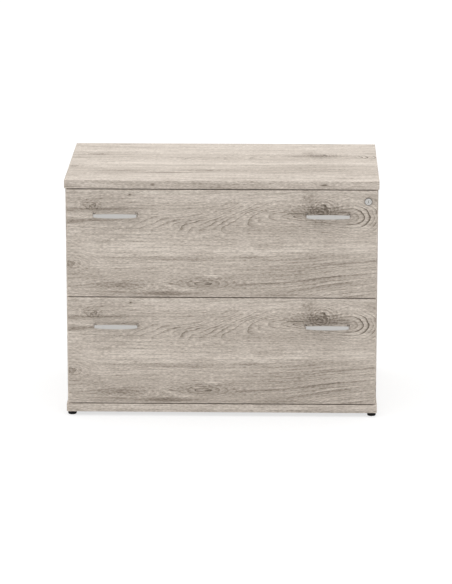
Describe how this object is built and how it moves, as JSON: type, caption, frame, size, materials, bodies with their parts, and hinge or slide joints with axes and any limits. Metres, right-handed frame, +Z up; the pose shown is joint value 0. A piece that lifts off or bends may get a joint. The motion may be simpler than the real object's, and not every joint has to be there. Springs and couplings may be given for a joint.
{
  "type": "lateral filing cabinet",
  "caption": "Desk-height lateral filing cabinet in grey oak print: wide file drawers on telescopic runners, bow handles, a cylinder lock with a lock bar, and levelling feet.",
  "frame": {"origin": "on the floor, below the middle of the whole object, handles included", "axes": "+Z up, the drawer fronts face -Y, +X to the right as seen from the front"},
  "size_m": [0.94, 0.588, 0.73],
  "materials": {
    "oak_print": "melamine-faced board with a grey oak print, matt, fine grain along the width",
    "box_board": "light grey melamine-faced board, matt",
    "satin_silver": "satin silver",
    "lock_chrome": "dull nickel plate",
    "zinc_steel": "bright zinc plate",
    "black_plastic": "moulded, matt"
  },
  "bodies": {
    "cabinet": {"top_panel": "oak_print", "base_panel": "oak_print", "left_side_panel": "oak_print", "right_side_panel": "oak_print", "back_panel": "oak_print", "upper_left_runner_outer": "zinc_steel", "upper_right_runner_outer": "zinc_steel", "lower_left_runner_outer": "zinc_steel", "lower_right_runner_outer": "zinc_steel", "upper_bar_guide": "zinc_steel", "lower_bar_guide": "zinc_steel"},
    "upper_drawer": {"upper_drawer_front": "oak_print", "upper_drawer_left_wall": "box_board", "upper_drawer_right_wall": "box_board", "upper_drawer_inner_front": "box_board", "upper_drawer_back_wall": "box_board", "upper_drawer_bottom": "box_board", "upper_front_file_rail": "zinc_steel", "upper_rear_file_rail": "zinc_steel", "upper_left_handle": "satin_silver", "upper_right_handle": "satin_silver", "upper_left_handle_left_screw": "zinc_steel", "upper_left_handle_right_screw": "zinc_steel", "upper_right_handle_left_screw": "zinc_steel", "upper_right_handle_right_screw": "zinc_steel", "upper_left_runner_inner": "zinc_steel", "upper_right_runner_inner": "zinc_steel", "upper_lock_catch": "zinc_steel", "lock_housing": "lock_chrome", "lock_nut": "zinc_steel"},
    "lower_drawer": {"lower_drawer_front": "oak_print", "lower_drawer_left_wall": "box_board", "lower_drawer_right_wall": "box_board", "lower_drawer_inner_front": "box_board", "lower_drawer_back_wall": "box_board", "lower_drawer_bottom": "box_board", "lower_front_file_rail": "zinc_steel", "lower_rear_file_rail": "zinc_steel", "lower_left_handle": "satin_silver", "lower_right_handle": "satin_silver", "lower_left_handle_left_screw": "zinc_steel", "lower_left_handle_right_screw": "zinc_steel", "lower_right_handle_left_screw": "zinc_steel", "lower_right_handle_right_screw": "zinc_steel", "lower_left_runner_inner": "zinc_steel", "lower_right_runner_inner": "zinc_steel", "lower_lock_catch": "zinc_steel"},
    "upper_runner_middles": {"upper_left_runner_middle": "zinc_steel", "upper_right_runner_middle": "zinc_steel"},
    "lower_runner_middles": {"lower_left_runner_middle": "zinc_steel", "lower_right_runner_middle": "zinc_steel"},
    "lock_plug": {"lock_plug": "lock_chrome"},
    "lock_bar": {"lock_bar": "zinc_steel", "lock_actuator": "zinc_steel", "upper_lock_tab": "zinc_steel", "lower_lock_tab": "zinc_steel"},
    "front_left_foot": {"front_left_foot": "black_plastic"},
    "front_right_foot": {"front_right_foot": "black_plastic"},
    "rear_left_foot": {"rear_left_foot": "black_plastic"},
    "rear_right_foot": {"rear_right_foot": "black_plastic"}
  },
  "joints": [
    {"name": "upper_drawer_slide", "type": "slide", "parent": "cabinet", "child": "upper_drawer", "axis": [0, -1, 0], "range_m": [0, 0.45]},
    {"name": "lower_drawer_slide", "type": "slide", "parent": "cabinet", "child": "lower_drawer", "axis": [0, -1, 0], "range_m": [0, 0.45]},
    {"name": "upper_runner_extend", "type": "slide", "parent": "cabinet", "child": "upper_runner_middles", "axis": [0, -1, 0], "range_m": [0, 0.225]},
    {"name": "lower_runner_extend", "type": "slide", "parent": "cabinet", "child": "lower_runner_middles", "axis": [0, -1, 0], "range_m": [0, 0.225]},
    {"name": "lock_turn", "type": "hinge", "parent": "upper_drawer", "child": "lock_plug", "pos_m": [0.4375, -0.2685, 0.6687], "axis": [0, -1, 0], "range_deg": [0, 90]},
    {"name": "lock_bar_lift", "type": "slide", "parent": "cabinet", "child": "lock_bar", "axis": [0, 0, 1], "range_m": [0, 0.00849]},
    {"name": "front_left_foot_turn", "type": "hinge", "parent": "cabinet", "child": "front_left_foot", "pos_m": [-0.4545, -0.241, 0], "axis": [0, 0, 1], "continuous": true},
    {"name": "front_right_foot_turn", "type": "hinge", "parent": "cabinet", "child": "front_right_foot", "pos_m": [0.4545, -0.241, 0], "axis": [0, 0, 1], "continuous": true},
    {"name": "rear_left_foot_turn", "type": "hinge", "parent": "cabinet", "child": "rear_left_foot", "pos_m": [-0.4545, 0.269, 0], "axis": [0, 0, 1], "continuous": true},
    {"name": "rear_right_foot_turn", "type": "hinge", "parent": "cabinet", "child": "rear_right_foot", "pos_m": [0.4545, 0.269, 0], "axis": [0, 0, 1], "continuous": true}
  ],
  "couplings": [
    {"joint": "upper_runner_extend", "follows": "upper_drawer_slide", "ratio": 0.5},
    {"joint": "lower_runner_extend", "follows": "lower_drawer_slide", "ratio": 0.5},
    {"joint": "lock_turn", "follows": "lock_bar_lift", "rad_per_m": 185.12}
  ]
}
